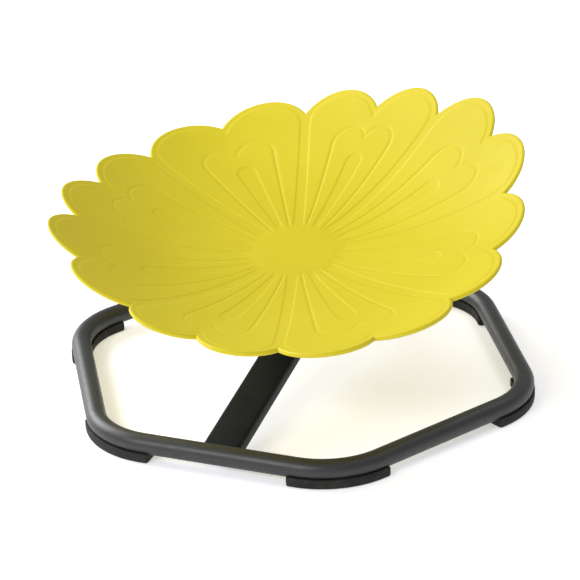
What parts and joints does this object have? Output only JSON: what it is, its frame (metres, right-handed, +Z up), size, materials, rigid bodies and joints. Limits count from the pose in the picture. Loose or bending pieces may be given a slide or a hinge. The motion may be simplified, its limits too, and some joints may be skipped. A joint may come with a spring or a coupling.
{
  "type": "spinning dish seat",
  "caption": "Children's spinning seat: a petal-edged, saddle-curved plastic dish turning on a tilted ball bearing hub over a box section bar and a hexagonal tube ring with curved rubber feet.",
  "frame": {"origin": "on the floor, under the middle of the whole object", "axes": "+Z up, +X to the right, -Y to the front, where the dish leans down"},
  "size_m": [0.6586, 0.6194, 0.3376],
  "materials": {
    "yellow_plastic": "satin moulded",
    "black_powder_coat": "satin powder coat",
    "black_rubber": "matt",
    "seal_rubber": "matt",
    "bearing_steel": "ground",
    "zinc_steel": "zinc plated",
    "brass": "machined"
  },
  "bodies": {
    "base": {"base_ring": "black_powder_coat", "cross_bar": "black_powder_coat", "foot_right": "black_rubber", "foot_screw_right_1": "zinc_steel", "foot_screw_right_2": "zinc_steel", "foot_rear_right": "black_rubber", "foot_screw_rear_right_1": "zinc_steel", "foot_screw_rear_right_2": "zinc_steel", "foot_rear_left": "black_rubber", "foot_screw_rear_left_1": "zinc_steel", "foot_screw_rear_left_2": "zinc_steel", "foot_left": "black_rubber", "foot_screw_left_1": "zinc_steel", "foot_screw_left_2": "zinc_steel", "foot_front_left": "black_rubber", "foot_screw_front_left_1": "zinc_steel", "foot_screw_front_left_2": "zinc_steel", "foot_front_right": "black_rubber", "foot_screw_front_right_1": "zinc_steel", "foot_screw_front_right_2": "zinc_steel", "spindle_plate": "black_powder_coat", "spindle": "zinc_steel", "plate_bolt_1": "zinc_steel", "plate_nut_1": "zinc_steel", "plate_bolt_2": "zinc_steel", "plate_nut_2": "zinc_steel", "plate_bolt_3": "zinc_steel", "plate_nut_3": "zinc_steel", "plate_bolt_4": "zinc_steel", "plate_nut_4": "zinc_steel", "lower_bearing_inner_race": "bearing_steel", "upper_bearing_inner_race": "bearing_steel", "bearing_spacer": "zinc_steel", "spindle_washer": "zinc_steel", "spindle_lock_nut": "zinc_steel"},
    "seat": {"lower_bearing_outer_race": "bearing_steel", "upper_bearing_outer_race": "bearing_steel", "housing_circlip": "zinc_steel", "lower_seal": "seal_rubber", "hub_housing": "black_powder_coat", "petal_dish": "yellow_plastic", "threaded_insert_1": "brass", "flange_bolt_1": "zinc_steel", "threaded_insert_2": "brass", "flange_bolt_2": "zinc_steel", "threaded_insert_3": "brass", "flange_bolt_3": "zinc_steel", "threaded_insert_4": "brass", "flange_bolt_4": "zinc_steel", "threaded_insert_5": "brass", "flange_bolt_5": "zinc_steel", "threaded_insert_6": "brass", "flange_bolt_6": "zinc_steel"},
    "lower_cage": {"lower_ball_cage": "brass"},
    "upper_cage": {"upper_ball_cage": "brass"}
  },
  "joints": [
    {"name": "dish_spin", "type": "hinge", "parent": "base", "child": "seat", "pos_m": [0, 0.0086, 0.1858], "axis": [0, -0.1668, 0.986], "continuous": true},
    {"name": "lower_cage_roll", "type": "hinge", "parent": "base", "child": "lower_cage", "pos_m": [0, 0.0086, 0.1858], "axis": [0, -0.1668, 0.986], "continuous": true},
    {"name": "upper_cage_roll", "type": "hinge", "parent": "base", "child": "upper_cage", "pos_m": [0, 0.0086, 0.1858], "axis": [0, -0.1668, 0.986], "continuous": true}
  ],
  "couplings": [
    {"joint": "lower_cage_roll", "follows": "dish_spin", "ratio": 0.6},
    {"joint": "upper_cage_roll", "follows": "dish_spin", "ratio": 0.6}
  ]
}
